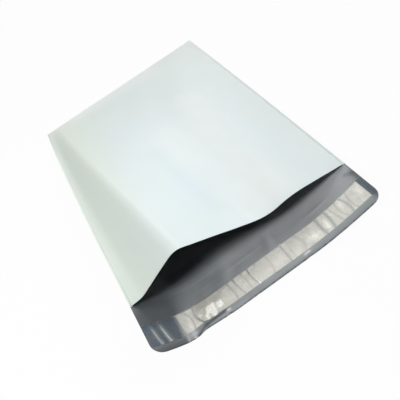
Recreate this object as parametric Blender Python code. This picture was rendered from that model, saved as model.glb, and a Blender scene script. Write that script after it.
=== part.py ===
"""A poly mailer bag that lies open on its back, with its flap and its glue towards the viewer.

Metres, +Z up. X runs across the bag, +Y runs to the folded end, and the flap is at -Y.
The bag is one film, folded at the closed end and welded down both sides, so it is one solid: the back
panel lies on the table, the front panel arches over it from weld to weld, and the flap is the back
panel running on past the mouth. The film doesn't stretch, so a raised place is drawn in and back.

A station is a place down the bag: 0 at the fold, 1 at the mouth, and FLAP_END at the flap's edge.
"""

import math

import bmesh
import bpy
from mathutils import Vector
from mathutils.bvhtree import BVHTree

MM = 0.001

# The film laid flat
BAG_WIDTH = 254 * MM
POUCH_LENGTH = 330 * MM
FLAP_LENGTH = 48 * MM
FLAP_CORNER_RADIUS = 10 * MM
FILM = 0.1 * MM
SIDE_WELD = 2 * MM
FOLD_DEPTH = 1 * MM
CLOSED_GAP = 0.3 * MM

# How far the corners of the closed end are drawn in, and how fast that fades down the bag
LEFT_CORNER_DRAW = 4 * MM
RIGHT_CORNER_DRAW = 2.3 * MM
CORNER_DRAW_POWER = 3

# Heights of the two welds above the table
LEFT_WELD_AT_MOUTH = 31 * MM
LEFT_WELD_AT_FLAP = 18 * MM
RIGHT_WELD_HALFWAY = 6.5 * MM
RIGHT_WELD_AT_MOUTH = 20 * MM
RIGHT_WELD_AT_FLAP = 15 * MM
HALFWAY = 0.5
HALFWAY_ROUNDING = 0.3
MOUTH_ROUNDING = 12 * MM

# Widths of the back panel that lift off the table beside the welds
LEFT_LIFT_AT_FOLD = 20 * MM
LEFT_LIFT_AT_MOUTH = 56 * MM
LEFT_LIFT_AT_FLAP = 28 * MM
RIGHT_LIFT_AT_FOLD = 20 * MM
RIGHT_LIFT_AT_MOUTH = 48 * MM
RIGHT_LIFT_AT_FLAP = 60 * MM
LIFT_ROUNDING = 0.45

# The flap's edge curls off the table: places from the left side of the flap, and heights
EDGE_CURL_START = 44 * MM
EDGE_CURL_TOP = 53 * MM
EDGE_CURL_TOP_HEIGHT = 5.5 * MM
EDGE_CURL_END = 84 * MM
EDGE_CURL_HEIGHT = 1.5 * MM
EDGE_CURL_ROUNDING = 4 * MM

# The front panel has a ridge from the closed left corner to the mouth, then a trough and a low swell.
# Places are measured along the film, from the left weld for the foot and the crest, else from the right one.
FOOT_AT_FOLD = 6 * MM
FOOT_AT_MOUTH = 15 * MM
FOOT_HEIGHT = 31 * MM
FOOT_ROUNDING = 5 * MM
CREST_AT_FOLD = 16 * MM
CREST_AT_MOUTH = 70 * MM
CREST_HEIGHT = 59 * MM
CREST_POWER = 0.85
CREST_ROUNDING = 8 * MM
TROUGH_FROM_RIGHT = 91 * MM
TROUGH_HEIGHT = 21.5 * MM
TROUGH_POWER = 0.8
SWELL_FROM_RIGHT = 61 * MM
SWELL_HEIGHT = 28 * MM
SWELL_ROUNDING = 14 * MM
ROUNDING_AT_FOLD = 0.4

# The glue on the flap, and the liner over it
GLUE_FROM_FLAP_EDGE = 7.7 * MM
GLUE_WIDTH = 19.5 * MM
GLUE_FROM_LEFT = 34.5 * MM
GLUE_FROM_RIGHT = 6.5 * MM
GLUE_THICKNESS = 0.15 * MM
LINER_OVERHANG = 0.8 * MM
LINER_FROM_SIDE = 0.5 * MM
LINER_THICKNESS = 0.1 * MM
LAID_GAP = 0.3 * MM
CREASE_HEIGHT = 0.9 * MM
CREASE_HALF_WIDTH = 2.5 * MM

# Places of the liner's crosswise creases from its left end, in millimetres
CREASE_PLACES = (10, 19, 47, 52, 93, 99, 108, 115, 137, 154, 160, 171, 195, 205, 213, 219, 227, 232)

# How finely the film is divided
POUCH_ROWS = 15
ROW_POWER = 1.3
FLAP_ROWS = 8
CORNER_COLUMNS = 4
UP_RIDGE_COLUMNS = 3
OVER_CREST_COLUMNS = 4
DOWN_RIDGE_COLUMNS = 6
IN_TROUGH_COLUMNS = 8
PAST_SWELL_COLUMNS = 4
STRIP_ROWS = 3
SMOOTH_ANGLE = math.radians(40)
GLUE_COLUMNS = 110
LINER_COLUMNS = 180

FLAP_END = 1 + FLAP_LENGTH / POUCH_LENGTH
LEFT, RIGHT = -1, 1


def mix(start, end, share):
    return start + (end - start) * share


def rounded_ramp(distance, rounding):
    """0 before a corner, and the distance past it after, eased within the rounding."""
    if distance >= rounding:
        return distance
    if distance <= -rounding:
        return 0.0
    return (distance + rounding) ** 2 / (4 * rounding)


def eased_line(place, corners):
    """The height at a place on a line of straight stretches. A corner is its place, height and rounding."""
    first, second = corners[0], corners[1]
    slope = (second[1] - first[1]) / (second[0] - first[0])
    height = first[1] + slope * (place - first[0])
    for corner, after in zip(corners[1:], corners[2:]):
        new_slope = (after[1] - corner[1]) / (after[0] - corner[0])
        height += (new_slope - slope) * rounded_ramp(place - corner[0], corner[2])
        slope = new_slope
    return height


def run_of(length, rise):
    """How far a stretch of film reaches sideways when it also climbs."""
    return math.sqrt(length**2 - rise**2)


def weld_height(station, side):
    mouth_rounding = MOUTH_ROUNDING / POUCH_LENGTH
    if side == LEFT:
        corners = [(0, 0, 0), (1, LEFT_WELD_AT_MOUTH, mouth_rounding), (FLAP_END, LEFT_WELD_AT_FLAP, 0)]
    else:
        corners = [
            (0, 0, 0),
            (HALFWAY, RIGHT_WELD_HALFWAY, HALFWAY_ROUNDING),
            (1, RIGHT_WELD_AT_MOUTH, mouth_rounding),
            (FLAP_END, RIGHT_WELD_AT_FLAP, 0),
        ]
    return eased_line(station, corners)


def lift_width(station, side):
    if side == LEFT:
        widths = (LEFT_LIFT_AT_FOLD, LEFT_LIFT_AT_MOUTH, LEFT_LIFT_AT_FLAP)
    else:
        widths = (RIGHT_LIFT_AT_FOLD, RIGHT_LIFT_AT_MOUTH, RIGHT_LIFT_AT_FLAP)
    mouth_rounding = MOUTH_ROUNDING / POUCH_LENGTH
    return eased_line(station, [(0, widths[0], 0), (1, widths[1], mouth_rounding), (FLAP_END, widths[2], 0)])


def weld_place(station, side):
    """X of a weld: half the width of the bag, less what the lift and the closed corner draw in."""
    lift = lift_width(station, side)
    drawn_in = lift - run_of(lift, weld_height(station, side))
    corner_draw = LEFT_CORNER_DRAW if side == LEFT else RIGHT_CORNER_DRAW
    drawn_in += corner_draw * max(1 - station, 0) ** CORNER_DRAW_POWER
    return side * (BAG_WIDTH / 2 - drawn_in)


def back_place(station, side, distance):
    """X on the back panel at a distance along the film from one side, inside the lift there."""
    lift = lift_width(station, side)
    return weld_place(station, side) - side * distance * run_of(lift, weld_height(station, side)) / lift


def back_corners(station):
    """The back panel across the bag: down from the left weld, flat on the table, up to the right weld."""
    corners = []
    for side in (LEFT, RIGHT):
        weld = (weld_place(station, side), weld_height(station, side), 0)
        run = run_of(lift_width(station, side), weld[1])
        foot = (weld[0] - side * run, 0, run * LIFT_ROUNDING)
        corners += [weld, foot] if side == LEFT else [foot, weld]
    return corners


def edge_curl(station, place):
    """How far the flap rises off the table between its raised ends, most at its edge."""
    side = -BAG_WIDTH / 2
    corners = [
        (side, 0, 0),
        (side + EDGE_CURL_START, 0, EDGE_CURL_ROUNDING),
        (side + EDGE_CURL_TOP, EDGE_CURL_TOP_HEIGHT, EDGE_CURL_ROUNDING),
        (side + EDGE_CURL_END, EDGE_CURL_HEIGHT, EDGE_CURL_ROUNDING),
        (BAG_WIDTH / 2, EDGE_CURL_HEIGHT, 0),
    ]
    share = max(station - 1, 0) / (FLAP_END - 1)
    return eased_line(place, corners) * share**2


def back_height(station, place):
    """Height of the back panel's underside, or of the flap's."""
    return max(eased_line(place, back_corners(station)), 0) + edge_curl(station, place)


def front_corners(station):
    """The front panel across the bag: left weld, foot of the ridge, crest, trough, swell, right weld."""
    easing = mix(ROUNDING_AT_FOLD, 1, station)
    left = (weld_place(station, LEFT), weld_height(station, LEFT), 0)
    right = (weld_place(station, RIGHT), weld_height(station, RIGHT), 0)
    foot_length = mix(FOOT_AT_FOLD, FOOT_AT_MOUTH, station)
    foot_z = FOOT_HEIGHT * station
    foot_x = left[0] + run_of(foot_length, foot_z - left[1])
    crest_length = mix(CREST_AT_FOLD, CREST_AT_MOUTH, station) - foot_length
    crest_z = CREST_HEIGHT * station**CREST_POWER
    crest_x = foot_x + run_of(crest_length, crest_z - foot_z)
    swell_z = SWELL_HEIGHT * station
    swell_x = right[0] - run_of(SWELL_FROM_RIGHT, swell_z - right[1])
    trough_z = TROUGH_HEIGHT * station**TROUGH_POWER
    trough_x = swell_x - run_of(TROUGH_FROM_RIGHT - SWELL_FROM_RIGHT, trough_z - swell_z)
    return [
        left,
        (foot_x, foot_z, FOOT_ROUNDING * easing),
        (crest_x, crest_z, CREST_ROUNDING * easing),
        (trough_x, trough_z, SWELL_ROUNDING),
        (swell_x, swell_z, SWELL_ROUNDING),
        right,
    ]


def opening_height(station, place):
    """Clear height between the panels, away from the fold and the welds."""
    panels = eased_line(place, front_corners(station)) - eased_line(place, back_corners(station))
    return max(panels, CLOSED_GAP)


def side_columns():
    """Distances from a side of its columns: down the flap's round corner, and the weld's inner edge."""
    steps = range(CORNER_COLUMNS + 1)
    arc = [FLAP_CORNER_RADIUS * (1 - math.cos(math.pi / 2 * step / CORNER_COLUMNS)) for step in steps]
    return sorted(arc + [SIDE_WELD])


def spread(start, end, parts):
    """Places from start up to, but not including, end."""
    return [mix(start, end, step / parts) for step in range(parts)]


def column_places(station):
    """X of each column of the mesh, left to right. The columns follow the ridge, the trough and the swell."""
    left, right = weld_place(station, LEFT), weld_place(station, RIGHT)
    corners = front_corners(min(station, 1))
    crest = left + corners[2][0] - corners[0][0]
    trough = right + corners[3][0] - corners[-1][0]
    swell = right + corners[4][0] - corners[-1][0]
    rounding = corners[2][2]
    edge = side_columns()
    places = [left + distance for distance in edge[:-1]]
    places += spread(left + edge[-1], crest - rounding, UP_RIDGE_COLUMNS)
    places += spread(crest - rounding, crest + rounding, OVER_CREST_COLUMNS)
    places += spread(crest + rounding, trough - SWELL_ROUNDING, DOWN_RIDGE_COLUMNS)
    places += spread(trough - SWELL_ROUNDING, swell + SWELL_ROUNDING, IN_TROUGH_COLUMNS)
    places += spread(swell + SWELL_ROUNDING, right - edge[-1], PAST_SWELL_COLUMNS)
    places += [right - distance for distance in reversed(edge)]
    return places


def corner_cut(distance):
    """How much shorter the flap is at a distance from its side, at its round corner."""
    inside = max(FLAP_CORNER_RADIUS - distance, 0)
    return FLAP_CORNER_RADIUS - math.sqrt(FLAP_CORNER_RADIUS**2 - inside**2)


def pouch_stations():
    """Down the pouch from the fold, closer together near it, where the film curves most."""
    rows = [(step / POUCH_ROWS) ** ROW_POWER for step in range(1, POUCH_ROWS + 1)]
    return [0, FOLD_DEPTH / POUCH_LENGTH] + rows


def flap_stations(column, columns):
    """Down one column of the flap, from the mouth to the edge or to the round corner."""
    edge = side_columns()
    from_side = min(column, columns - 1 - column)
    cut = corner_cut(edge[from_side]) if from_side < len(edge) else 0
    length = (FLAP_LENGTH - cut) / POUCH_LENGTH
    return [1 + length * step / FLAP_ROWS for step in range(1, FLAP_ROWS + 1)]


def lay_film(stations, place_at, height_at):
    """Points down one line of film from the fold. It keeps its length, so climbing draws it back."""
    points = []
    y = POUCH_LENGTH
    for index, station in enumerate(stations):
        x = place_at(station)
        z = height_at(station, x)
        if index:
            y -= run_of((station - stations[index - 1]) * POUCH_LENGTH, z - points[-1][2])
        points.append((x, y, z))
    return points


def raised(point, height):
    return (point[0], point[1], point[2] + height)


def new_object(name, bm, materials):
    """Makes an object of a closed mesh, with its faces turned out and its round parts smooth."""
    bmesh.ops.recalc_face_normals(bm, faces=bm.faces)
    mesh = bpy.data.meshes.new(name)
    bm.to_mesh(mesh)
    bm.free()
    mesh.shade_smooth()
    mesh.set_sharp_from_angle(angle=SMOOTH_ANGLE)
    for material in materials:
        mesh.materials.append(material)
    obj = bpy.data.objects.new(name, mesh)
    bpy.context.scene.collection.objects.link(obj)
    return obj


def add_sheet(bm, rows, material=0):
    """Triangles over a grid of vertices. The diagonals are mirrored at the middle, so layers match."""
    middle = len(rows[0]) // 2
    for upper, lower in zip(rows, rows[1:]):
        for column in range(len(upper) - 1):
            a, b = upper[column], upper[column + 1]
            c, d = lower[column + 1], lower[column]
            halves = [(a, b, c), (a, c, d)] if column < middle else [(a, b, d), (b, c, d)]
            for corners in halves:
                bm.faces.new(corners).material_index = material


def panel_columns(front):
    """One list of film points for each column of a panel, the front one's ending at the mouth."""
    columns = len(column_places(0))
    weld = side_columns().index(SIDE_WELD)
    panel = []
    for column in range(columns):
        welded = min(column, columns - 1 - column) <= weld

        def place_at(station):
            return column_places(station)[column]

        def height_at(station, place):
            height = back_height(station, place)
            if front and not welded and station > FOLD_DEPTH / POUCH_LENGTH:
                height += opening_height(station, place)
            return height

        stations = pouch_stations()
        if not front:
            stations += flap_stations(column, columns)
        panel.append(lay_film(stations, place_at, height_at))
    return panel


def make_bag(white, silver):
    """The film as one closed solid: two layers joined at the fold and the welds, and the flap."""
    bm = bmesh.new()
    fold = pouch_stations().index(FOLD_DEPTH / POUCH_LENGTH)
    mouth = len(pouch_stations()) - 1
    weld = side_columns().index(SIDE_WELD)

    def vertex_rows(panel, height):
        return [[bm.verts.new(raised(point, height)) for point in row] for row in zip(*panel)]

    back, front = panel_columns(False), panel_columns(True)
    under = vertex_rows(back, 0)
    floor = vertex_rows(back, FILM)
    ceiling = vertex_rows(front, FILM)
    top = vertex_rows(front, 2 * FILM)
    last = len(under[0]) - 1
    inner = range(weld + 1, last - weld)

    # The pouch is closed at the fold and the welds, where the ceiling is sewn to the floor.
    for row in range(mouth + 1):
        for column in range(last + 1):
            if row <= fold or column not in inner:
                bm.verts.remove(ceiling[row][column])
                ceiling[row][column] = floor[row][column]
    pouch = slice(weld, last - weld + 1)
    add_sheet(bm, under)
    add_sheet(bm, top)
    add_sheet(bm, [row[pouch] for row in floor[fold : mouth + 1]], material=1)
    add_sheet(bm, [row[pouch] for row in ceiling[fold:]], material=1)
    add_sheet(bm, floor[mouth:], material=1)

    # The cut edges: the mouth, the fold's end, the flap's edge and the two sides
    add_sheet(bm, [top[mouth], ceiling[mouth]])
    add_sheet(bm, [under[0], top[0]])
    add_sheet(bm, [under[-1], floor[-1]])
    for column in (0, last):
        low = [row[column] for row in under]
        high = [row[column] for row in top]
        lip = [row[column] for row in floor[mouth:]]
        add_sheet(bm, [low[:mouth], high[:mouth]])
        bm.faces.new((low[mouth - 1], low[mouth], lip[0], high[mouth], high[mouth - 1]))
        add_sheet(bm, [low[mouth:], lip])

    # The floor's vertices inside the welds and the fold belong to no face.
    loose = [vertex for vertex in bm.verts if not vertex.link_faces]
    bmesh.ops.delete(bm, geom=loose, context="VERTS")
    return new_object("bag", bm, [white, silver])


def crease_height(distance):
    """Height of the liner at its crosswise creases, which are narrow rounded ridges."""
    nearest = min(abs(distance - place * MM) for place in CREASE_PLACES)
    return CREASE_HEIGHT * max(1 - (nearest / CREASE_HALF_WIDTH) ** 2, 0) ** 2


def height_on(surface, point):
    """Height of the film's upper side over a point of its underside, as its facets have it."""
    above = Vector((point[0], point[1], point[2] + CREST_HEIGHT))
    hit = surface.ray_cast(above, Vector((0, 0, -1)))[0]
    return hit.z if hit else point[2] + FILM


def make_strip(name, material, surface, from_sides, band, lift, thickness, columns, wave):
    """A flat strip laid across the flap. Its band is measured from the flap's edge, near side first."""
    from_left, from_right = from_sides
    from_edge = spread(band[1], band[0], STRIP_ROWS) + [band[0]]
    stations = [FLAP_END - distance / POUCH_LENGTH for distance in from_edge]
    lines = []
    for column in range(columns + 1):
        share = column / columns

        def place_at(station):
            left = back_place(station, LEFT, from_left)
            return mix(left, back_place(station, RIGHT, from_right), share)

        line = lay_film(pouch_stations() + stations, place_at, back_height)[-len(stations) :]
        height = lift + wave(share * BAG_WIDTH)
        lines.append([(point[0], point[1], height_on(surface, point) + height) for point in line])
    bm = bmesh.new()
    low = [[bm.verts.new(point) for point in row] for row in zip(*lines)]
    high = [[bm.verts.new(raised(point, thickness)) for point in row] for row in zip(*lines)]
    add_sheet(bm, low)
    add_sheet(bm, high)
    add_sheet(bm, [low[0], high[0]])
    add_sheet(bm, [low[-1], high[-1]])
    for column in (0, columns):
        add_sheet(bm, [[row[column] for row in low], [row[column] for row in high]])
    return new_object(name, bm, [material])


def make_glue(material, surface):
    band = (GLUE_FROM_FLAP_EDGE, GLUE_FROM_FLAP_EDGE + GLUE_WIDTH)
    return make_strip(
        "adhesive_strip",
        material,
        surface,
        (GLUE_FROM_LEFT, GLUE_FROM_RIGHT),
        band,
        LAID_GAP,
        GLUE_THICKNESS,
        GLUE_COLUMNS,
        lambda distance: 0,
    )


def make_liner(material, surface):
    band = (GLUE_FROM_FLAP_EDGE - LINER_OVERHANG, GLUE_FROM_FLAP_EDGE + GLUE_WIDTH + LINER_OVERHANG)
    return make_strip(
        "release_liner",
        material,
        surface,
        (LINER_FROM_SIDE, LINER_FROM_SIDE),
        band,
        LAID_GAP + GLUE_THICKNESS + LAID_GAP,
        LINER_THICKNESS,
        LINER_COLUMNS,
        crease_height,
    )


def new_material(name, colour, roughness, metallic=0.0, alpha=1.0):
    material = bpy.data.materials.new(name)
    material.use_nodes = True
    shader = material.node_tree.nodes["Principled BSDF"]
    shader.inputs["Base Color"].default_value = (*colour, 1)
    shader.inputs["Roughness"].default_value = roughness
    shader.inputs["Metallic"].default_value = metallic
    shader.inputs["Alpha"].default_value = alpha
    return material


def clear_scene():
    for obj in list(bpy.data.objects):
        bpy.data.objects.remove(obj, do_unlink=True)


def stand_on_origin(objects):
    """Parents the pieces to an empty, set so that the origin is under the middle of the bag's box."""
    corners = [vertex.co for obj in objects for vertex in obj.data.vertices]
    lows = [min(corner[axis] for corner in corners) for axis in range(3)]
    highs = [max(corner[axis] for corner in corners) for axis in range(3)]
    frame = bpy.data.objects.new("bag_frame", None)
    bpy.context.scene.collection.objects.link(frame)
    frame.location = (-(lows[0] + highs[0]) / 2, -(lows[1] + highs[1]) / 2, -lows[2])
    for obj in objects:
        obj.parent = frame


def main():
    clear_scene()
    white = new_material("white_film", (0.82, 0.86, 0.85), 0.4)
    silver = new_material("silver_film", (0.2, 0.22, 0.23), 0.4)
    cream = new_material("cream_glue", (0.72, 0.73, 0.62), 0.35)
    clear = new_material("clear_liner", (0.7, 0.76, 0.8), 0.12, alpha=0.3)
    bag = make_bag(white, silver)
    film = BVHTree.FromPolygons(
        [vertex.co for vertex in bag.data.vertices], [face.vertices for face in bag.data.polygons]
    )
    stand_on_origin([bag, make_glue(cream, film), make_liner(clear, film)])


main()
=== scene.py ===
"""Looks of a poly mailer bag that lies open on its back: white film outside, silver grey film inside.

Metres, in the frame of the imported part: X runs across the bag, +Y runs to the folded end, the flap is at -Y.
A station is a place down the bag: 0 at the fold, 1 at the mouth, and FLAP_END at the flap's edge.
A film place is a distance across the film, from its left side. Heights are above the table.
"""

import math

import bpy
import numpy as np
from mathutils import Matrix, Vector


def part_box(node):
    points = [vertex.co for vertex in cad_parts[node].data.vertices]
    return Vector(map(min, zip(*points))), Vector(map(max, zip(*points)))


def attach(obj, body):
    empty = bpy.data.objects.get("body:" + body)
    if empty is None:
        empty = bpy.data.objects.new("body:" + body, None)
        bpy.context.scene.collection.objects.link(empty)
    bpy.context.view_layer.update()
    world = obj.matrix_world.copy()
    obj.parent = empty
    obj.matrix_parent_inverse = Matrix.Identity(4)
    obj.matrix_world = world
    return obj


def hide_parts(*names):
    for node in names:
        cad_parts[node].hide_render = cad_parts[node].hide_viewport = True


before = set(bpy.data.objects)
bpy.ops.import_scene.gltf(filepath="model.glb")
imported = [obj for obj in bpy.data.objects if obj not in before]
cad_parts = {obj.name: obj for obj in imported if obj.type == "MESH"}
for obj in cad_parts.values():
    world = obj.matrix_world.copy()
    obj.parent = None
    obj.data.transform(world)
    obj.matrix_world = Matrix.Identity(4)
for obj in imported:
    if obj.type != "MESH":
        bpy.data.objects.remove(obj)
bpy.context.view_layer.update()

MM = 0.001

# The film laid flat
BAG_WIDTH = 254 * MM
POUCH_LENGTH = 330 * MM
FLAP_LENGTH = 48 * MM
FLAP_CORNER_RADIUS = 10 * MM
FILM = 0.1 * MM
SIDE_WELD = 2 * MM
FOLD_DEPTH = 1 * MM
CLOSED_GAP = 0.3 * MM

# How far the corners of the closed end are drawn in, and how fast that fades down the bag
LEFT_CORNER_DRAW = 4 * MM
RIGHT_CORNER_DRAW = 2.3 * MM
CORNER_DRAW_POWER = 3

# Heights of the two welds
LEFT_WELD_AT_MOUTH = 31 * MM
LEFT_WELD_AT_FLAP = 18 * MM
RIGHT_WELD_HALFWAY = 6.5 * MM
RIGHT_WELD_AT_MOUTH = 20 * MM
RIGHT_WELD_AT_FLAP = 15 * MM
HALFWAY = 0.5
HALFWAY_ROUNDING = 0.3
MOUTH_ROUNDING = 12 * MM

# Widths of the back panel that lift off the table beside the welds
LEFT_LIFT_AT_FOLD = 20 * MM
LEFT_LIFT_AT_MOUTH = 56 * MM
LEFT_LIFT_AT_FLAP = 28 * MM
RIGHT_LIFT_AT_FOLD = 20 * MM
RIGHT_LIFT_AT_MOUTH = 48 * MM
RIGHT_LIFT_AT_FLAP = 60 * MM
LIFT_ROUNDING = 0.45

# The flap's edge curls off the table
EDGE_CURL_START = 44 * MM
EDGE_CURL_TOP = 53 * MM
EDGE_CURL_TOP_HEIGHT = 5.5 * MM
EDGE_CURL_END = 84 * MM
EDGE_CURL_HEIGHT = 1.5 * MM
EDGE_CURL_ROUNDING = 4 * MM

# The front panel's ridge, trough and swell, as distances along the film and heights at the mouth
FOOT_AT_FOLD = 6 * MM
FOOT_AT_MOUTH = 15 * MM
FOOT_HEIGHT = 31 * MM
FOOT_ROUNDING = 5 * MM
CREST_AT_FOLD = 16 * MM
CREST_AT_MOUTH = 70 * MM
CREST_HEIGHT = 59 * MM
CREST_POWER = 0.85
CREST_ROUNDING = 8 * MM
TROUGH_FROM_RIGHT = 91 * MM
TROUGH_HEIGHT = 21.5 * MM
TROUGH_POWER = 0.8
SWELL_FROM_RIGHT = 61 * MM
SWELL_HEIGHT = 28 * MM
SWELL_ROUNDING = 14 * MM
SWELL_EASING_AT_FOLD = 2
ROUNDING_AT_FOLD = 0.4

# The glue and its liner, as the bands that they take between the flap's edge and the mouth
GLUE_FROM_FLAP_EDGE = 7.7 * MM
GLUE_WIDTH = 19.5 * MM
GLUE_FROM_LEFT = 34.5 * MM
GLUE_FROM_RIGHT = 6.5 * MM
GLUE_LEAN = 3 * MM
GLUE_THICKNESS = 0.1 * MM
GLUE_GAP = 0.05 * MM
LINER_OVERHANG = 0.8 * MM
LINER_FROM_SIDE = 0.5 * MM
LINER_THICKNESS = 0.05 * MM
LINER_GAP = 0.06 * MM

# Creases across the liner: film places at the mouth side, the middle and the flap's edge side in
# millimetres, then half width and height in millimetres, and a tone: above 0 the glue below is painted grey,
# as painted shade and dark reflection of the lifted crease, and below 0 the crease has a painted highlight
# towards the flap's edge
CREASES = [
    (8.8, 10.0, 12.6, 1.9, 0.9, -0.65),
    (17.4, 18.6, 21.6, 2.1, 0.9, -0.75),
    (42.8, 47.0, 46.6, 1.1, 0.25, 0.75),
    (54.0, 51.4, 56.0, 1.1, 0.5, 0.8),
    (90.6, 93.2, 93.6, 1.1, 0.4, 0.6),
    (98.6, 99.4, 101.8, 1.0, 0.45, 0.8),
    (106.6, 109.2, 109.4, 1.2, 0.3, 0.4),
    (115.6, 115.2, 117.2, 1.1, 0.5, 0.9),
    (136.6, 137.0, 134.8, 1.4, 0.2, 0.3),
    (153.6, 154.0, 154.0, 1.3, 0.5, 0.85),
    (160.6, 159.4, 159.0, 0.9, 0.2, 0.3),
    (168.4, 173.0, 170.0, 2.0, 0.3, 0.4),
    (195.4, 194.6, 195.2, 1.8, 0.7, 1.0),
    (206.0, 206.0, 204.2, 1.8, 0.6, 0.95),
    (211.0, 212.6, 214.8, 1.2, 0.35, 0.5),
    (219.2, 217.8, 220.8, 0.9, 0.35, 0.6),
    (224.8, 227.4, 226.4, 1.3, 0.55, 0.85),
    (232.8, 230.8, 232.0, 1.0, 0.4, 0.65),
    (237.0, 237.4, 237.0, 1.4, 0.2, 0.25),
]

# Patches of painted highlight, where the liner gleams: film place in millimetres, share of the liner's width,
# half length and half width in millimetres, and strength
PAINTED_GLEAMS = [
    (66, 0.72, 9, 5, 0.95),
    (77, 0.62, 3, 3, 0.5),
    (71, 0.4, 2, 2, 0.3),
    (40, 0.6, 3, 6, 0.2),
    (104, 0.5, 2.5, 6, 0.2),
    (143, 0.5, 7, 5, 0.22),
    (128, 0.7, 6, 3, 0.2),
    (184, 0.65, 8, 4, 0.4),
    (201, 0.5, 2.5, 7, 0.35),
    (210, 0.25, 2.5, 4, 0.3),
    (222, 0.3, 2, 5, 0.25),
    (243, 0.4, 3, 5, 0.25),
]

# How steeply creases and gleams fall off, the share of the liner's width at which a crease's painted highlight
# is at its full strength, and the uneven outline of a gleam, which leaves grey creases as they are
CREASE_SHARPNESS = 1.6
CREASE_GLEAM_FULL = 0.45
GLEAM_SHARPNESS = 1.3
GLEAM_WARP = 0.4
GLEAM_WARP_PITCH_ACROSS = 7 * MM
GLEAM_WARP_PITCH_DOWN = 6 * MM
GREY_CREASE = 0.2

# Small dents in the flap and the mouth's floor: film place and distance from the mouth in millimetres,
# half length across and down in millimetres, and height in millimetres
DENTS = [
    (37.5, 45, 1.8, 6, 0.6),
    (80, 43.5, 2, 1.6, 0.8),
    (62, 44, 14, 1.6, 0.5),
    (169.5, 43.5, 3.2, 1.7, 0.8),
    (152, 11, 3, 10, 0.35),
    (206, 12, 16, 1.6, 0.25),
    (120, 9, 20, 1.8, 0.25),
]

# Painted light and shade on the front panel as soft marks, each a line from one film place and distance from
# the fold to another and a half width, in millimetres, and a tone: above 0 it is painted lighter than the
# film, and below 0 painted darker
FRONT_PAINTED_LIGHT_AND_SHADE = [
    (186, 120, 184, 315, 22, 0.58),
    (140, 165, 162, 310, 30, 0.42),
    (55, 4, 170, 4, 18, 0.6),
    (112, 180, 128, 295, 9, -0.22),
    (8, 30, 44, 330, 7, -0.15),
    (2, 60, 3, 290, 5, 0.3),
]

# The same painted light and shade, with painted shadows and highlights, on the flap and the mouth's floor,
# with distances from the mouth, which are below 0 inside it
FLAP_PAINTED_LIGHT_AND_SHADE = [
    (45, 47.5, 58, 44.5, 1.5, -1.0),
    (58, 44.5, 77.5, 42.2, 1.4, -1.0),
    (80.5, 43.4, 82.5, 43.6, 1.3, 1.0),
    (167, 43.4, 171.5, 43.6, 1.2, 0.8),
    (36.5, 43, 38.5, 47, 1.2, 0.4),
    (252.6, 12, 251.6, 43, 3.4, -1.0),
    (245, 8, 253, 14, 1.4, -0.4),
    (0, 2, 30, 10, 18, -1.0),
    (2, 18, 30, 20, 6, -0.6),
    (2, 46, 34, 46, 5, -0.9),
    (38, 43, 44, 43, 3, 0.55),
    (104, 46, 245, 46, 3, -0.26),
    (105, 0, 236, 2, 15, 0.3),
    (154, 0, 147, 20, 3.5, 0.1),
    (146, 4, 138, 20, 4, -0.16),
    (92, 4, 80, 20, 6, -0.14),
    (102, 8, 96, 19, 4, 0.08),
    (182, 15, 236, 9, 2, 0.07),
    (60, 12, 90, 10, 1.6, 0.06),
    (50, -16, 150, -18, 9, -0.9),
    (196, -14, 240, -9, 8, 0.2),
]

FLAP_END = 1 + FLAP_LENGTH / POUCH_LENGTH
LEFT, RIGHT = -1, 1

# Soft waves of the film: heights, pitches, and how much of the length down the film counts. Those of the
# floor and the flap start at a station, those of the front panel fade with its height over the back panel.
RIPPLE_WAVES = 9
BUCKLE_START = 0.8
BUCKLE_HEIGHT = 0.22 * MM
BUCKLE_PITCH = 46 * MM
BUCKLE_STRETCH = 0.35
SMALL_BUCKLE_HEIGHT = 0.05 * MM
SMALL_BUCKLE_PITCH = 13 * MM
SMALL_BUCKLE_STRETCH = 0.6
WAVE_HEIGHT = 0.2 * MM
WAVE_PITCH = 62 * MM
WAVE_STRETCH = 0.5
SMALL_WAVE_HEIGHT = 0.06 * MM
SMALL_WAVE_PITCH = 17 * MM
SMALL_WAVE_STRETCH = 0.8
WAVE_FADE_START = 1 * MM
WAVE_FADE_END = 8 * MM
CRUMPLE_HEIGHT = 0.06 * MM
CRUMPLE_PITCH = 7 * MM

# The flap's edge turns down in a narrow, uneven lip
LIP_WIDTH = 1.3 * MM
LIP_DROP = 0.55 * MM
LIP_PITCH = 9 * MM
LIP_UNEVEN = 0.25

# How finely the meshes are divided
CORNER_STEPS = 7
MIDDLE_COLUMNS = 168
POUCH_ROWS = 72
ROW_POWER = 1.15
FLAP_ROWS = 56
GLUE_COLUMNS = 620
GLUE_ROWS = 16
LINER_COLUMNS = 720
LINER_ROWS = 20
SMOOTH_ANGLE = math.radians(40)

# Colours of the white film: dim and bright mottling, its warm left, its cool middle, painted shade and painted
# light, and welds
WHITE_DIM = (0.775, 0.85, 0.83)
WHITE_BRIGHT = (0.805, 0.875, 0.85)
WHITE_WARM = (0.775, 0.85, 0.765)
WHITE_COOL = (0.765, 0.875, 0.90)
WHITE_PAINTED_SHADE = (0.64, 0.75, 0.80)
WHITE_PAINTED_LIGHT = (0.93, 0.98, 0.96)
WHITE_WELD = (0.68, 0.73, 0.72)

# Colours of the silver film: dim and bright lines, painted shade deep in the pouch, painted shade and painted
# light, its sides, and painted shade along its cut edge
SILVER_DIM = (0.274, 0.297, 0.313)
SILVER_BRIGHT = (0.398, 0.422, 0.430)
SILVER_DEEP_SHADE = (0.10, 0.105, 0.11)
SILVER_PAINTED_SHADE = (0.055, 0.066, 0.074)
SILVER_PAINTED_LIGHT = (0.86, 0.87, 0.88)
SILVER_SIDE = (0.12, 0.13, 0.135)
SILVER_EDGE_SHADE = (0.04, 0.044, 0.048)
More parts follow.
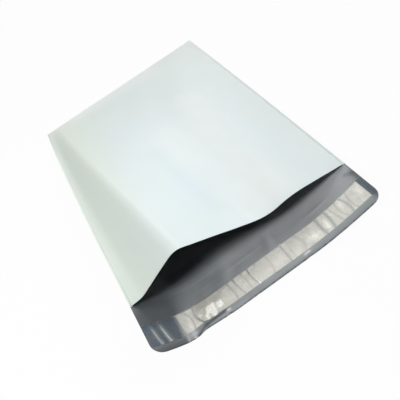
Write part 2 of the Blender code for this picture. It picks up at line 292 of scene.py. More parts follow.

# Colours of the glue, with a painted highlight where the liner gleams and grey under a crease, partly painted
# shade, and of its liner, with a painted blue reflection past the glue's ends
GLUE_DIM = (0.72, 0.71, 0.63)
GLUE_BRIGHT = (0.90, 0.90, 0.81)
GLUE_PAINTED_HIGHLIGHT = (0.98, 0.98, 0.93)
GLUE_GREY_AND_SHADE = (0.34, 0.35, 0.34)
LINER_BRIGHT = (0.96, 0.96, 0.93)
LINER_DEEP_BLUE_REFLECTION = (0.02, 0.10, 0.18)
LINER_PALE_BLUE_REFLECTION = (0.12, 0.16, 0.20)

# Where the colours change: film places, and lengths down the film from the fold
WARM_FADE = (35 * MM, 95 * MM)
COOL_LEFT_FADE = (45 * MM, 110 * MM)
COOL_RIGHT_FADE = (190 * MM, 245 * MM)
COOL_DOWN_FADE = (30 * MM, 170 * MM)
DEEP_SHADE_FADE = (POUCH_LENGTH - 60 * MM, POUCH_LENGTH - 14 * MM)
EDGE_SHADE_FADE = (POUCH_LENGTH + FLAP_LENGTH - 1.9 * MM, POUCH_LENGTH + FLAP_LENGTH - 0.6 * MM)
BARE_LEFT_FADE = (GLUE_FROM_LEFT - 3 * MM, GLUE_FROM_LEFT + 3 * MM)
BARE_RIGHT_FADE = (BAG_WIDTH - GLUE_FROM_RIGHT - 0.5 * MM, BAG_WIDTH - GLUE_FROM_RIGHT + 0.5 * MM)

# The same, as distances from the nearer side
WELD_FADE = (SIDE_WELD, SIDE_WELD + 0.4 * MM)
RIM_FADE = (0.4 * MM, 1.6 * MM)

# The photo's camera, from the middle of the mouth on the table
CAMERA_FROM_MOUTH = Vector((-35.0, -192.0, 359.4)) * MM
CAMERA_PITCH = math.radians(52.92)
CAMERA_ROLL = math.radians(-30.07)
CAMERA_YAW = math.radians(6.0)
SENSOR = 36
LENS = 37.33
CLIP_START = 10 * MM

# Light: a round lamp high on the left, over the mouth, and two weaker and lower lights, from the right
# and from the back
LAMP_FROM_MOUTH = Vector((-600, -100, 1000)) * MM
LAMP_SIZE = 340 * MM
LAMP_POWER = 7.4
RIGHT_LIGHT_FROM = Vector((0.75, 0.5, 0.4))
RIGHT_LIGHT_STRENGTH = 1.25
BACK_LIGHT_FROM = Vector((0.32, 0.78, 0.53))
BACK_LIGHT_STRENGTH = 0.9
LIGHT_ANGLE = math.radians(24)
AMBIENT = 0.03

# The floor, and the share of plain white in what the camera and reflections see of it
FLOOR_COLOUR = 0.96
FLOOR_GLOW = 0.95
FLOOR_HALF_WIDTH = 6.0
FLOOR_CORNERS = ((-1, -1), (1, -1), (1, 1), (-1, 1))
FLOOR_DROP = 0.2 * MM


def mix(start, end, share):
    return start + (end - start) * share


def rounded_ramp(distance, rounding):
    """0 before a corner, and the distance past it after, eased within the rounding."""
    rounding = np.maximum(rounding, 1e-9)
    eased = np.clip(distance + rounding, 0, 2 * rounding)
    return eased**2 / (4 * rounding) + np.maximum(distance - rounding, 0)


def eased_line(place, corners):
    """The height at a place on a line of straight stretches. A corner is its place, height and rounding."""
    first, second = corners[0], corners[1]
    slope = (second[1] - first[1]) / (second[0] - first[0])
    height = first[1] + slope * (place - first[0])
    for corner, after in zip(corners[1:], corners[2:]):
        new_slope = (after[1] - corner[1]) / (after[0] - corner[0])
        height = height + (new_slope - slope) * rounded_ramp(place - corner[0], corner[2])
        slope = new_slope
    return height


def run_of(length, rise):
    """How far a stretch of film reaches sideways when it also climbs."""
    return np.sqrt(np.maximum(length**2 - rise**2, 0))


def smooth_step(value, start, end):
    share = np.clip((value - start) / (end - start), 0, 1)
    return share * share * (3 - 2 * share)


def ripples(along, across, pitch, seed):
    """A field of soft waves of about that pitch, between about -1 and 1."""
    random = np.random.default_rng(seed)
    total = 0
    for _ in range(RIPPLE_WAVES):
        turn = random.uniform(0, 2 * math.pi)
        length = pitch * random.uniform(0.7, 1.6)
        start = random.uniform(0, 2 * math.pi)
        way = along * math.cos(turn) + across * math.sin(turn)
        total = total + np.sin(way * 2 * math.pi / length + start)
    return total / math.sqrt(2 * RIPPLE_WAVES)


def weld_height(station, side):
    mouth_rounding = MOUTH_ROUNDING / POUCH_LENGTH
    if side == LEFT:
        corners = [(0, 0, 0), (1, LEFT_WELD_AT_MOUTH, mouth_rounding), (FLAP_END, LEFT_WELD_AT_FLAP, 0)]
    else:
        corners = [
            (0, 0, 0),
            (HALFWAY, RIGHT_WELD_HALFWAY, HALFWAY_ROUNDING),
            (1, RIGHT_WELD_AT_MOUTH, mouth_rounding),
            (FLAP_END, RIGHT_WELD_AT_FLAP, 0),
        ]
    return eased_line(station, corners)


def lift_width(station, side):
    if side == LEFT:
        widths = (LEFT_LIFT_AT_FOLD, LEFT_LIFT_AT_MOUTH, LEFT_LIFT_AT_FLAP)
    else:
        widths = (RIGHT_LIFT_AT_FOLD, RIGHT_LIFT_AT_MOUTH, RIGHT_LIFT_AT_FLAP)
    mouth_rounding = MOUTH_ROUNDING / POUCH_LENGTH
    return eased_line(station, [(0, widths[0], 0), (1, widths[1], mouth_rounding), (FLAP_END, widths[2], 0)])


def weld_place(station, side):
    """X of a weld: half the width of the bag, less what the lift and the closed corner draw in."""
    lift = lift_width(station, side)
    drawn_in = lift - run_of(lift, weld_height(station, side))
    corner_draw = LEFT_CORNER_DRAW if side == LEFT else RIGHT_CORNER_DRAW
    drawn_in = drawn_in + corner_draw * np.maximum(1 - station, 0) ** CORNER_DRAW_POWER
    return side * (BAG_WIDTH / 2 - drawn_in)


def back_corners(station):
    """The back panel across the bag: down from the left weld, flat on the table, up to the right weld."""
    corners = []
    for side in (LEFT, RIGHT):
        weld = (weld_place(station, side), weld_height(station, side), 0)
        run = run_of(lift_width(station, side), weld[1])
        foot = (weld[0] - side * run, 0, run * LIFT_ROUNDING)
        corners += [weld, foot] if side == LEFT else [foot, weld]
    return corners


def film_place(station, distance):
    """X on the back panel at a film place, which also climbs where the panel is lifted."""
    corners = back_corners(station)
    left_lift, right_lift = lift_width(station, LEFT), lift_width(station, RIGHT)
    from_right = BAG_WIDTH - distance
    on_left = mix(corners[0][0], corners[1][0], distance / left_lift)
    on_right = mix(corners[3][0], corners[2][0], from_right / right_lift)
    share = (distance - left_lift) / (BAG_WIDTH - left_lift - right_lift)
    flat = mix(corners[1][0], corners[2][0], share)
    return np.where(distance < left_lift, on_left, np.where(from_right < right_lift, on_right, flat))


def edge_curl(station, place):
    """How far the flap rises off the table between its raised ends, most at its edge."""
    side = -BAG_WIDTH / 2
    corners = [
        (side, 0, 0),
        (side + EDGE_CURL_START, 0, EDGE_CURL_ROUNDING),
        (side + EDGE_CURL_TOP, EDGE_CURL_TOP_HEIGHT, EDGE_CURL_ROUNDING),
        (side + EDGE_CURL_END, EDGE_CURL_HEIGHT, EDGE_CURL_ROUNDING),
        (BAG_WIDTH / 2, EDGE_CURL_HEIGHT, 0),
    ]
    share = np.maximum(station - 1, 0) / (FLAP_END - 1)
    return eased_line(place, corners) * share**2


def back_height(station, place):
    """Height of the back panel's underside, or of the flap's."""
    return np.maximum(eased_line(place, back_corners(station)), 0) + edge_curl(station, place)


def front_corners(station):
    """The front panel across the bag: left weld, foot of the ridge, crest, trough, swell, right weld."""
    easing = mix(ROUNDING_AT_FOLD, 1, station)
    left = (weld_place(station, LEFT), weld_height(station, LEFT), 0)
    right = (weld_place(station, RIGHT), weld_height(station, RIGHT), 0)
    foot_length = mix(FOOT_AT_FOLD, FOOT_AT_MOUTH, station)
    foot_z = FOOT_HEIGHT * station
    foot_x = left[0] + run_of(foot_length, foot_z - left[1])
    crest_length = mix(CREST_AT_FOLD, CREST_AT_MOUTH, station) - foot_length
    crest_z = CREST_HEIGHT * station**CREST_POWER
    crest_x = foot_x + run_of(crest_length, crest_z - foot_z)
    swell_z = SWELL_HEIGHT * station
    swell_easing = mix(SWELL_EASING_AT_FOLD, 1, station**4)
    swell_x = right[0] - run_of(SWELL_FROM_RIGHT, swell_z - right[1])
    trough_z = TROUGH_HEIGHT * station**TROUGH_POWER
    trough_x = swell_x - run_of(TROUGH_FROM_RIGHT - SWELL_FROM_RIGHT, trough_z - swell_z)
    return [
        left,
        (foot_x, foot_z, FOOT_ROUNDING * easing),
        (crest_x, crest_z, CREST_ROUNDING * easing),
        (trough_x, trough_z, SWELL_ROUNDING * swell_easing),
        (swell_x, swell_z, SWELL_ROUNDING * swell_easing),
        right,
    ]


def opening_height(station, place):
    """Clear height between the panels, away from the fold and the welds."""
    panels = eased_line(place, front_corners(station)) - eased_line(place, back_corners(station))
    return np.maximum(panels, CLOSED_GAP)


def side_columns():
    """Distances from a side of its columns: down the flap's round corner, and the weld's inner edge."""
    steps = range(CORNER_STEPS + 1)
    arc = [FLAP_CORNER_RADIUS * (1 - math.cos(math.pi / 2 * step / CORNER_STEPS)) for step in steps]
    return np.array(sorted(arc + [SIDE_WELD]))


def column_rule():
    """For each column of the bag: its distance from its side, and its share of the width between sides."""
    edge = side_columns()
    middle = np.linspace(0, 1, MIDDLE_COLUMNS + 2)[1:-1]
    distance = np.concatenate([edge, np.full(MIDDLE_COLUMNS, edge[-1]), edge[::-1]])
    share = np.concatenate([np.zeros(len(edge)), middle, np.ones(len(edge))])
    return distance, share


def bag_place(station):
    """X of each column of the bag."""
    distance, share = column_rule()
    return mix(weld_place(station, LEFT) + distance, weld_place(station, RIGHT) - distance, share)


def pouch_stations():
    """Down the pouch from the fold, closer together near it, where the film curves most."""
    rows = [(step / POUCH_ROWS) ** ROW_POWER for step in range(1, POUCH_ROWS + 1)]
    first = FOLD_DEPTH / POUCH_LENGTH
    return [0.0, first] + [row for row in rows if row > 1.5 * first]


def flap_stations():
    """Down the flap, one station for each column, because its round corners are shorter."""
    distance, share = column_rule()
    edge = np.where((share > 0) & (share < 1), FLAP_CORNER_RADIUS, distance)
    inside = np.maximum(FLAP_CORNER_RADIUS - edge, 0)
    cut = FLAP_CORNER_RADIUS - np.sqrt(FLAP_CORNER_RADIUS**2 - inside**2)
    length = (FLAP_LENGTH - cut) / POUCH_LENGTH
    return [1 + length * step / FLAP_ROWS for step in range(1, FLAP_ROWS + 1)]


def lay_film(stations, place_at, height_at):
    """Rows of points from the fold. The film keeps its length, so it is drawn back where it climbs."""
    rows = []
    y = POUCH_LENGTH
    for index, station in enumerate(stations):
        x = place_at(station)
        z = height_at(station, x)
        if index:
            y = y - run_of((station - stations[index - 1]) * POUCH_LENGTH, z - rows[-1][:, 2])
        rows.append(np.column_stack([x, np.broadcast_to(y, x.shape), z]))
    return np.array(rows)


def film_places(rows):
    """Film place of each point: its distance along its row, scaled to end at the bag's width."""
    steps = np.linalg.norm(np.diff(rows[:, :, [0, 2]], axis=1), axis=2)
    across = np.concatenate([np.zeros((len(rows), 1)), np.cumsum(steps, axis=1)], axis=1)
    across *= BAG_WIDTH / across[:, -1:]
    return across


def flap_relief(station, place):
    """The small unevenness of the flap and of the mouth's floor: soft buckles, and a lip that turns down."""
    down = (station - 1) * POUCH_LENGTH
    shown = smooth_step(station, BUCKLE_START, 1)
    buckles = BUCKLE_HEIGHT * (ripples(place, down * BUCKLE_STRETCH, BUCKLE_PITCH, seed=3) + 1)
    small = ripples(place, down * SMALL_BUCKLE_STRETCH, SMALL_BUCKLE_PITCH, seed=5)
    small = SMALL_BUCKLE_HEIGHT * (small + 1)
    lip = LIP_DROP * smooth_step(down, FLAP_LENGTH - LIP_WIDTH, FLAP_LENGTH)
    lip = lip * (1 - LIP_UNEVEN + LIP_UNEVEN * ripples(place, down, LIP_PITCH, seed=7))
    dents = 0
    for dent_place, dent_down, half_across, half_down, height in DENTS:
        off_across = (place + BAG_WIDTH / 2 - dent_place * MM) / (half_across * MM)
        off_down = (down - dent_down * MM) / (half_down * MM)
        dents = dents + height * MM * np.exp(-(off_across**2) - off_down**2)
    return (buckles + small) * shown + dents - lip


def dressed_back(station, place):
    return back_height(station, place) + flap_relief(station, place)


def front_relief(station, place):
    """The front panel's faint waves, which fade where it closes on the back panel."""
    down = station * POUCH_LENGTH
    waves = WAVE_HEIGHT * ripples(place, down * WAVE_STRETCH, WAVE_PITCH, seed=11)
    small = SMALL_WAVE_HEIGHT * ripples(place, down * SMALL_WAVE_STRETCH, SMALL_WAVE_PITCH, seed=13)
    return (waves + small) * smooth_step(opening_height(station, place), WAVE_FADE_START, WAVE_FADE_END)


def grid_faces(index, turned):
    """Four-sided faces over a grid of vertex numbers, facing -Z, or +Z when turned."""
    faces = np.stack([index[:-1, :-1], index[:-1, 1:], index[1:, 1:], index[1:, :-1]], axis=-1).reshape(-1, 4)
    return faces[:, ::-1] if turned else faces


def new_object(name, points, faces, film, tone, materials, material_of):
    """A mesh object of the points in use. Film places and tones, which carry painted light and shade, are kept
    for its materials.
    """
    used, faces_in = np.unique(np.concatenate([np.ravel(face) for face in faces]), return_inverse=True)
    mesh = bpy.data.meshes.new(name)
    counts = [len(face) for face in faces]
    starts = np.concatenate([[0], np.cumsum(counts)])
    cut = [faces_in[start:end].tolist() for start, end in zip(starts, starts[1:])]
    mesh.from_pydata((points[used] + origin).tolist(), [], cut)
    mesh.shade_smooth()
    mesh.set_sharp_from_angle(angle=SMOOTH_ANGLE)
    for material in materials:
        mesh.materials.append(material)
    mesh.polygons.foreach_set("material_index", np.array(material_of, dtype=np.int32))
    attribute = mesh.attributes.new("film", "FLOAT_VECTOR", "POINT")
    attribute.data.foreach_set("vector", film[used].astype(np.float32).ravel())
    attribute = mesh.attributes.new("tone", "FLOAT", "POINT")
    attribute.data.foreach_set("value", tone[used].astype(np.float32))
    obj = bpy.data.objects.new(name, mesh)
    bpy.context.scene.collection.objects.link(obj)
    return obj


def painted_tone(marks, place, down):
    """The tone of those soft marks of painted light and shade, 0 away from them."""
    tone = np.zeros_like(place)
    for mark in marks:
        start_place, start_down, end_place, end_down, half = (number * MM for number in mark[:5])
        line = (end_place - start_place, end_down - start_down)
        along = (place - start_place) * line[0] + (down - start_down) * line[1]
        share = np.clip(along / (line[0] ** 2 + line[1] ** 2), 0, 1)
        off = np.hypot(place - start_place - share * line[0], down - start_down - share * line[1]) / half
        tone = tone + mark[5] * np.exp(-(off**2))
    return np.clip(tone, -1, 1)


def make_bag(white, silver):
    """The film as one closed skin: two layers joined at the fold and the welds, and the flap."""
    pouch = pouch_stations()
    distance, share = column_rule()
    columns = len(distance)
    welded = (np.minimum(share, 1 - share) == 0) & (distance <= SIDE_WELD)

    def front_height(station, place):
        opening = opening_height(station, place) + front_relief(station, place)
        sewn = welded | (station <= FOLD_DEPTH / POUCH_LENGTH)
        return dressed_back(station, place) + np.where(sewn, 0, np.maximum(opening, CLOSED_GAP))

    back = lay_film(pouch + flap_stations(), bag_place, dressed_back)
    front = lay_film(pouch, bag_place, front_height)
    mouth, last = len(pouch) - 1, len(back) - 1

    def layer(rows, lift):
        return (rows + (0, 0, lift)).reshape(-1, 3)

    def numbers(first, rows):
        return first + np.arange(len(rows) * columns).reshape(len(rows), columns)

    points = np.concatenate([layer(back, 0), layer(back, FILM), layer(front, FILM), layer(front, 2 * FILM)])
    under = numbers(0, back)
    floor = numbers(under.size, back)
    ceiling = numbers(2 * under.size, front)
    top = numbers(2 * under.size + ceiling.size, front)
    joined = np.broadcast_to(welded, ceiling.shape).copy()
    joined[:2] = True
    ceiling = np.where(joined, floor[: mouth + 1], ceiling)
    weld = int(np.flatnonzero(welded[: columns // 2])[-1])
    inner = slice(weld, columns - weld)

    outside = [grid_faces(under, False), grid_faces(top, True)]
    edges = [
        grid_faces(np.stack([top[mouth], ceiling[mouth]]), True),
        grid_faces(np.stack([floor[last], under[last]]), True),
        grid_faces(np.stack([under[0], top[0]]), True),
    ]
    inside = [
        grid_faces(floor[1 : mouth + 1, inner], True),
        grid_faces(ceiling[1:, inner], False),
        grid_faces(floor[mouth:], True),
    ]
    corners = []
    for column, turned in ((0, False), (columns - 1, True)):
        low, high, lip = under[:, column], top[:, column], floor[mouth:, column]
        edges.append(grid_faces(np.stack([low[:mouth], high[:mouth]]), turned))
        edges.append(grid_faces(np.stack([low[mouth:], lip]), turned))
        corner = [low[mouth - 1], low[mouth], lip[0], high[mouth], high[mouth - 1]]
        corners.append(corner[::-1] if turned else corner)
    faces = [list(face) for group in outside + edges + inside for face in group] + corners
    outer_count = sum(len(group) for group in outside + edges)
    inner_count = sum(len(group) for group in inside)
    material_of = [0] * outer_count + [1] * inner_count + [0] * len(corners)

    down = np.array([np.broadcast_to(station, columns) for station in pouch + flap_stations()]) * POUCH_LENGTH
    film_back = np.dstack([film_places(back), down, np.zeros_like(down)]).reshape(-1, 3)
    front_down = down[: mouth + 1]
    film_front = np.dstack([film_places(front), front_down, np.ones_like(front_down)]).reshape(-1, 3)
    film = np.concatenate([film_back, film_back, film_front, film_front])
    # The tones of the flap, the mouth's floor and the front panel are painted light and shade
    back_tone = painted_tone(FLAP_PAINTED_LIGHT_AND_SHADE, film_back[:, 0], film_back[:, 1] - POUCH_LENGTH)
    front_tone = painted_tone(FRONT_PAINTED_LIGHT_AND_SHADE, film_front[:, 0], film_front[:, 1])
    tone = np.concatenate([np.zeros_like(back_tone), back_tone, np.zeros_like(front_tone), front_tone])
    return new_object("mailer_film", points, faces, film, tone, [white, silver], material_of)


def crease_line(crease, share):
    """Film place of a crease at a share of the liner's width, on a smooth curve through its three places."""
    start, middle, end = (place * MM for place in crease[:3])
    bend = 2 * (start + end - 2 * middle)
    return start + (end - start - bend) * share + bend * share**2


def crease_heights(distance, share):
    """Height of the liner's creases, with a small crumple between them."""
    height = CRUMPLE_HEIGHT * (ripples(distance, share * GLUE_WIDTH, CRUMPLE_PITCH, seed=21) + 1)
    for crease in CREASES:
        half, rise = crease[3] * MM, crease[4] * MM
        off = np.abs(distance - crease_line(crease, share)) / half
        height = height + rise * np.exp(-(off**CREASE_SHARPNESS))
    return height


def crease_tone(distance, share):
    """The tone of the creases and the gleams over the strip, painted shade and painted highlights, 0 between
    them.
    """
    tone = np.zeros_like(distance)
    for crease in CREASES:
        off = np.abs(distance - crease_line(crease, share)) / (crease[3] * MM)
        near = np.exp(-(off**2))
        strength = crease[5] if crease[5] > 0 else crease[5] * smooth_step(share, 0, CREASE_GLEAM_FULL)
        tone = np.where(near > np.abs(tone), strength * near, tone)
    down = share * GLUE_WIDTH
    warp_across = GLEAM_WARP * ripples(distance, down, GLEAM_WARP_PITCH_ACROSS, seed=31)
    warp_down = GLEAM_WARP * ripples(distance, down, GLEAM_WARP_PITCH_DOWN, seed=33)
    for place, at_share, half_length, half_width, strength in PAINTED_GLEAMS:
        off_across = (distance - place * MM) / (half_length * MM) + warp_across
        off_down = (share - at_share) * GLUE_WIDTH / (half_width * MM) + warp_down
        gleam = strength * np.exp(-((off_across**2 + off_down**2) ** GLEAM_SHARPNESS))
        tone = np.where(tone > GREY_CREASE, tone, tone - gleam)
    return tone


def make_strip(name, material, ends, band, lift, thickness, columns, rows, wave, lean=0.0):
    """A strip laid across the flap, with its end leaned over by lean. Its band is from the flap's edge."""
    stations = [FLAP_END - mix(band[1], band[0], step / rows) / POUCH_LENGTH for step in range(rows + 1)]
    share_of = {station: step / rows for step, station in enumerate(stations)}

    def distances(station):
        start = ends[0] + lean * share_of.get(station, 0)
        return mix(start, BAG_WIDTH - ends[1], np.linspace(0, 1, columns + 1))

    def place_at(station):
        return film_place(station, distances(station))

    laid = lay_film(pouch_stations() + stations, place_at, dressed_back)[-len(stations) :]
    distance = np.array([distances(station) for station in stations])
    share = np.broadcast_to(np.linspace(0, 1, rows + 1)[:, None], distance.shape)
    laid[:, :, 2] += FILM + lift + wave(distance, share)
    points = np.concatenate([laid.reshape(-1, 3), (laid + (0, 0, thickness)).reshape(-1, 3)])
    low = np.arange(distance.size).reshape(distance.shape)
    high = low + distance.size
    groups = [
        grid_faces(low, False),
        grid_faces(high, True),
        grid_faces(np.stack([low[0], high[0]]), True),
        grid_faces(np.stack([high[-1], low[-1]]), True),
        grid_faces(np.stack([low[:, 0], high[:, 0]]), False),
        grid_faces(np.stack([low[:, -1], high[:, -1]]), True),
    ]
    faces = [list(face) for group in groups for face in group]
    film = np.dstack([distance, share * GLUE_WIDTH, np.zeros_like(distance)]).reshape(-1, 3)
    film = np.concatenate([film, film])
    tone = crease_tone(distance, share).ravel()
    tone = np.concatenate([tone, tone])
    return new_object(name, points, faces, film, tone, [material], [0] * len(faces))


class Nodes:
    """Short names for the shader nodes that the materials use."""

    def __init__(self, name):
        self.material = bpy.data.materials.new(name)
        self.material.use_nodes = True
        self.tree = self.material.node_tree
        self.shader = self.tree.nodes["Principled BSDF"]

    def put(self, socket, value):
        if isinstance(value, bpy.types.NodeSocket):
            self.tree.links.new(value, socket)
        else:
            socket.default_value = value

    def node(self, kind, settings=None, **inputs):
        node = self.tree.nodes.new(kind)
        for key, value in (settings or {}).items():
            setattr(node, key, value)
        for key, value in inputs.items():
            self.put(node.inputs[key], value)
        return node

    def film(self):
        """Film place, length down the film and layer: 0, or 1 in the front panel."""
        return self.node("ShaderNodeAttribute", {"attribute_name": "film"}).outputs["Vector"]

    def tone(self, sign):
        """The part of the tone that has that sign, as 0 to 1."""
        tone = self.node("ShaderNodeAttribute", {"attribute_name": "tone"}).outputs["Fac"]
        return self.times(tone, sign, clamp=True)

    def part_of(self, vector, axis):
        return self.node("ShaderNodeSeparateXYZ", Vector=vector).outputs[axis]

    def scaled(self, vector, x, y):
        node = self.node("ShaderNodeVectorMath", {"operation": "MULTIPLY"})
        self.put(node.inputs[0], vector)
        node.inputs[1].default_value = (x, y, 1)
        return node.outputs[0]

    def noise(self, vector, scale, detail=2.0, roughness=0.5):
        node = self.node("ShaderNodeTexNoise", Vector=vector, Scale=scale, Detail=detail, Roughness=roughness)
        return node.outputs["Fac"]

    def math(self, operation, a, b, clamp=False):
        node = self.node("ShaderNodeMath", {"operation": operation, "use_clamp": clamp})
        self.put(node.inputs[0], a)
        self.put(node.inputs[1], b)
        return node.outputs[0]

    def times(self, a, b, clamp=False):
        return self.math("MULTIPLY", a, b, clamp)

    def plus(self, a, b, clamp=False):
        return self.math("ADD", a, b, clamp)

    def larger(self, a, b):
        return self.math("MAXIMUM", a, b)

    def ramp(self, value, low, high, start=0.0, end=1.0):
        """value taken from low..high to start..end, and clamped."""
        node = self.node("ShaderNodeMapRange", {"clamp": True})
        self.put(node.inputs[0], value)
        for socket, number in zip(node.inputs[1:5], (low, high, start, end)):
            socket.default_value = number
        return node.outputs[0]

    def blend(self, share, first, second):
        node = self.node("ShaderNodeMix", {"data_type": "RGBA"})
        self.put(node.inputs[0], share)
        for socket, value in ((node.inputs[6], first), (node.inputs[7], second)):
            self.put(socket, (*value, 1) if isinstance(value, tuple) else value)
        return node.outputs[2]

    def bump(self, height, distance, strength):
        return self.node("ShaderNodeBump", Height=height, Distance=distance, Strength=strength).outputs[0]

    def set(self, **inputs):
        for key, value in inputs.items():
            self.put(self.shader.inputs[key.replace("_", " ")], value)
        return self.material


def side_distance(n, place):
    """Distance of a point from the nearer side of the film."""
    return n.math("MINIMUM", place, n.math("SUBTRACT", BAG_WIDTH, place))


def white_film():
    """Satin white film: warm at its left, cool in the middle, with a fine grain, pressed side welds, and
    painted light and shade in soft marks.
    """
    n = Nodes("white_film")
    film = n.film()
    place, down = n.part_of(film, 0), n.part_of(film, 1)
    colour = n.blend(n.ramp(n.noise(film, 22, 3), 0.3, 0.7), WHITE_DIM, WHITE_BRIGHT)
    colour = n.blend(n.ramp(place, *WARM_FADE, 0.9, 0), colour, WHITE_WARM)
    middle = n.times(n.ramp(place, *COOL_LEFT_FADE), n.ramp(place, *COOL_RIGHT_FADE, 1, 0.25))
    middle = n.times(middle, n.ramp(down, *COOL_DOWN_FADE, 0.2, 1))
    cool = n.times(middle, n.ramp(n.noise(film, 9, 2), 0.35, 0.6, 0.45, 1))
    colour = n.blend(cool, colour, WHITE_COOL)
    # Painted shade and painted light from the soft marks on the front panel
    colour = n.blend(n.tone(-1), colour, WHITE_PAINTED_SHADE)
    colour = n.blend(n.tone(1), colour, WHITE_PAINTED_LIGHT)
    weld = n.ramp(side_distance(n, place), *WELD_FADE, 1, 0)
    colour = n.blend(n.times(weld, 0.15), colour, WHITE_WELD)
    lines = n.noise(n.scaled(film, 14, 900), 1, 2)
    grain = n.noise(film, 1500, 2)
    ribs = n.times(n.noise(n.scaled(film, 300, 1400), 1, 1), weld)
    relief = n.plus(n.plus(n.times(lines, 0.4), n.times(grain, 0.35)), n.times(ribs, 0.8))
    roughness = n.ramp(n.noise(film, 60, 3), 0.3, 0.7, 0.44, 0.47)
    return n.set(Base_Color=colour, Roughness=roughness, Normal=n.bump(relief, 0.05 * MM, 0.4))


def silver_film():
    """Silver grey film: cloudy, with lines across the bag and a soft gloss, painted shade deep in the pouch
    and along the flap's cut edge, and painted light and shade in soft marks.
    """
    n = Nodes("silver_film")
    film = n.film()
    place, down = n.part_of(film, 0), n.part_of(film, 1)
    lines = n.noise(n.scaled(film, 9, 620), 1, 3, 0.6)
    broad = n.noise(n.scaled(film, 5, 90), 1, 2)
    cloud = n.noise(film, 45, 3)
    streaks = n.plus(n.plus(n.times(lines, 0.45), n.times(broad, 0.35)), n.times(cloud, 0.3))
    colour = n.blend(n.ramp(streaks, 0.35, 0.75), SILVER_DIM, SILVER_BRIGHT)
    # Painted shade, darker deeper in the pouch
    depth = n.ramp(down, *DEEP_SHADE_FADE, 0.8, 0)
    colour = n.blend(depth, colour, SILVER_DEEP_SHADE)
    # Painted shade, shadows and highlights from the soft marks on the flap and the mouth's floor
    colour = n.blend(n.times(n.tone(-1), 0.8), colour, SILVER_PAINTED_SHADE)
    colour = n.blend(n.times(n.tone(1), 0.9), colour, SILVER_PAINTED_LIGHT)
    rim = n.ramp(side_distance(n, place), *RIM_FADE, 1, 0)
    colour = n.blend(n.times(rim, 0.5), colour, SILVER_SIDE)
    # Painted shade: a dark, speckled line along the flap's cut edge, where its lip turns down
    cut = n.ramp(down, *EDGE_SHADE_FADE)
    speckle = n.ramp(n.noise(film, 260, 3), 0.4, 0.6, 0.25, 1)
    colour = n.blend(n.times(n.times(cut, speckle), 0.95), colour, SILVER_EDGE_SHADE)
    relief = n.plus(n.times(lines, 0.8), n.times(n.noise(film, 700, 2), 0.25))
    roughness = n.ramp(n.noise(film, 80, 3), 0.3, 0.7, 0.3, 0.42)
    return n.set(Base_Color=colour, Metallic=0.15, Roughness=roughness, Normal=n.bump(relief, 0.06 * MM, 0.7))


def cream_glue():
    """Cream hot-melt glue, unevenly laid, with painted shade where a crease lifts the liner off it and painted
    highlights in the gleams.
    """
    n = Nodes("cream_glue")
    film = n.film()
    colour = n.blend(n.ramp(n.noise(film, 120, 4, 0.6), 0.35, 0.65), GLUE_DIM, GLUE_BRIGHT)
    # Painted highlight: the glue is painted near white in the gleams
    colour = n.blend(n.tone(-1), colour, GLUE_PAINTED_HIGHLIGHT)
    # Painted shade and dark reflection along the creases, with uneven grey from noise between them
    grey = n.plus(n.tone(1), n.ramp(n.noise(film, 70, 3), 0.58, 0.75, 0, 0.4), clamp=True)
    colour = n.blend(grey, colour, GLUE_GREY_AND_SHADE)
    return n.set(Base_Color=colour, Roughness=0.35, Normal=n.bump(n.noise(film, 260, 3), 0.15 * MM, 0.6))


def clear_liner():
    """Clear glossy film: a painted dark blue reflection past both ends of the glue, a mirror over it, and
    painted highlights in the gleams, where it turns a more opaque white mirror.
    """
    n = Nodes("clear_liner")
    film = n.film()
    place = n.part_of(film, 0)
    bare = n.larger(n.ramp(place, *BARE_LEFT_FADE, 1, 0), n.ramp(place, *BARE_RIGHT_FADE))
    # Painted reflection: a dark blue tint past the glue's ends
    blue = n.blend(n.ramp(n.noise(film, 90, 2), 0.35, 0.65), LINER_DEEP_BLUE_REFLECTION, LINER_PALE_BLUE_REFLECTION)
    # Painted highlight: in the gleams the liner turns a more opaque white mirror
    gleam = n.tone(-1)
    colour = n.blend(gleam, n.blend(bare, LINER_BRIGHT, blue), LINER_BRIGHT)
    alpha = n.larger(n.ramp(bare, 0, 1, 0.12, 0.36), n.times(gleam, 0.55))
    mirror = n.larger(n.math("SUBTRACT", 1, bare), gleam)
    crumple = n.noise(n.scaled(film, 1, 0.45), 340, 3)
    roughness = n.ramp(n.noise(film, 150, 2), 0.3, 0.7, 0.16, 0.28)
    roughness = n.plus(roughness, n.ramp(gleam, 0, 0.5, 0, 0.5))
    return n.set(
        Base_Color=colour,
        Metallic=mirror,
        Roughness=roughness,
        Alpha=alpha,
        Specular_IOR_Level=1.0,
        Coat_Weight=1.0,
        Coat_Roughness=0.08,
        Normal=n.bump(crumple, 0.25 * MM, 0.5),
    )


def make_floor():
    """A plain pale floor, which the camera and reflections see as white, with the bag's soft shadow."""
    mesh = bpy.data.meshes.new("floor")
    corners = [(x * FLOOR_HALF_WIDTH, y * FLOOR_HALF_WIDTH, -FLOOR_DROP) for x, y in FLOOR_CORNERS]
    mesh.from_pydata(corners, [], [(0, 1, 2, 3)])
    floor = bpy.data.objects.new("floor", mesh)
    bpy.context.scene.collection.objects.link(floor)
    n = Nodes("pale_floor")
    shade = n.node("ShaderNodeBsdfDiffuse", Color=(FLOOR_COLOUR, FLOOR_COLOUR, FLOOR_COLOUR, 1))
    glow = n.node("ShaderNodeEmission", Color=(1, 1, 1, 1), Strength=1.0)
    both = n.node("ShaderNodeMixShader")
    n.put(both.inputs[0], n.times(seen_ray(n), FLOOR_GLOW))
    n.put(both.inputs[1], shade.outputs[0])
    n.put(both.inputs[2], glow.outputs[0])
    n.put(n.tree.nodes["Material Output"].inputs["Surface"], both.outputs[0])
    mesh.materials.append(n.material)


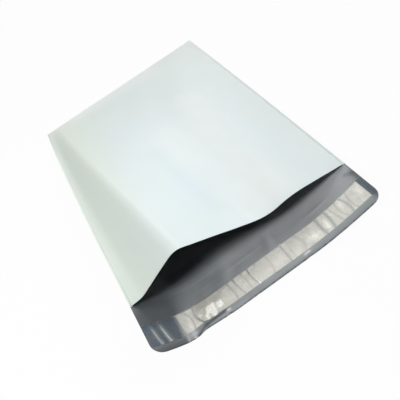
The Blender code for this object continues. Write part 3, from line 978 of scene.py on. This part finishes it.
def seen_ray(n):
    """1 for rays from the camera, from a gloss or through clear film, else 0."""
    path = n.node("ShaderNodeLightPath")
    seen = n.larger(path.outputs["Is Camera Ray"], path.outputs["Is Glossy Ray"])
    return n.larger(seen, path.outputs["Is Transmission Ray"])


class WorldNodes(Nodes):
    """The same short names for the world's nodes."""

    def __init__(self):
        world = bpy.data.worlds.new("studio")
        world.use_nodes = True
        bpy.context.scene.world = world
        self.tree = world.node_tree


def make_world():
    n = WorldNodes()
    back = n.tree.nodes["Background"]
    back.inputs["Color"].default_value = (1, 1, 1, 1)
    n.put(back.inputs["Strength"], n.ramp(seen_ray(n), 0, 1, AMBIENT, 1))


def place_light(light, way, place=(0, 0, 0)):
    lamp = bpy.data.objects.new(light.name, light)
    lamp.rotation_mode = "QUATERNION"
    lamp.rotation_quaternion = way.to_track_quat("Z", "Y")
    lamp.location = place
    bpy.context.scene.collection.objects.link(lamp)


def make_lights():
    over = bpy.data.lights.new("overhead_lamp", "AREA")
    over.shape = "DISK"
    over.size = LAMP_SIZE
    over.energy = LAMP_POWER
    place_light(over, LAMP_FROM_MOUTH, Vector(origin) + LAMP_FROM_MOUTH)
    for name, way, strength in (
        ("right_light", RIGHT_LIGHT_FROM, RIGHT_LIGHT_STRENGTH),
        ("back_light", BACK_LIGHT_FROM, BACK_LIGHT_STRENGTH),
    ):
        light = bpy.data.lights.new(name, "SUN")
        light.angle = LIGHT_ANGLE
        light.energy = strength
        place_light(light, way)


def make_camera():
    """Pitch is down from level, yaw is from +Y to +X, and roll is about the line of sight."""
    forward = Vector(
        (
            math.sin(CAMERA_YAW) * math.cos(CAMERA_PITCH),
            math.cos(CAMERA_YAW) * math.cos(CAMERA_PITCH),
            -math.sin(CAMERA_PITCH),
        )
    )
    level = Vector((math.cos(CAMERA_YAW), -math.sin(CAMERA_YAW), 0))
    upright = level.cross(forward)
    right = math.cos(CAMERA_ROLL) * level + math.sin(CAMERA_ROLL) * upright
    up = math.cos(CAMERA_ROLL) * upright - math.sin(CAMERA_ROLL) * level
    camera = bpy.data.cameras.new("camera")
    camera.sensor_width = SENSOR
    camera.lens = LENS
    camera.clip_start = CLIP_START
    holder = bpy.data.objects.new("camera", camera)
    bpy.context.scene.collection.objects.link(holder)
    place = Matrix((right, up, -forward)).transposed().to_4x4()
    place.translation = CAMERA_FROM_MOUTH + Vector(origin)
    holder.matrix_world = place
    bpy.context.scene.camera = holder


def mouth_origin():
    """Where the middle of the mouth's base is in the part's frame, from the bag's box."""
    low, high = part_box("bag")
    stations = np.linspace(0, FLAP_END, 200)
    middle = (min(weld_place(stations, LEFT)) + max(weld_place(stations, RIGHT))) / 2
    return np.array(((low.x + high.x) / 2 - middle, high.y - POUCH_LENGTH, low.z))


origin = mouth_origin()
make_camera()
make_lights()
make_world()
make_floor()

bag = make_bag(white_film(), silver_film())
glue_band = (GLUE_FROM_FLAP_EDGE, GLUE_FROM_FLAP_EDGE + GLUE_WIDTH)
glue = make_strip(
    "glue_band",
    cream_glue(),
    (GLUE_FROM_LEFT, GLUE_FROM_RIGHT),
    glue_band,
    GLUE_GAP,
    GLUE_THICKNESS,
    GLUE_COLUMNS,
    GLUE_ROWS,
    lambda distance, share: 0,
    GLUE_LEAN,
)
liner = make_strip(
    "liner_film",
    clear_liner(),
    (LINER_FROM_SIDE, LINER_FROM_SIDE),
    (glue_band[0] - LINER_OVERHANG, glue_band[1] + LINER_OVERHANG),
    GLUE_GAP + GLUE_THICKNESS + LINER_GAP,
    LINER_THICKNESS,
    LINER_COLUMNS,
    LINER_ROWS,
    crease_heights,
)
pieces = ((bag, "bag", "film"), (glue, "adhesive_strip", "glue"), (liner, "release_liner", "liner"))
for piece, node, slot in pieces:
    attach(piece, "root")
    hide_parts(node)

view = bpy.context.scene.view_settings
view.view_transform = "Standard"
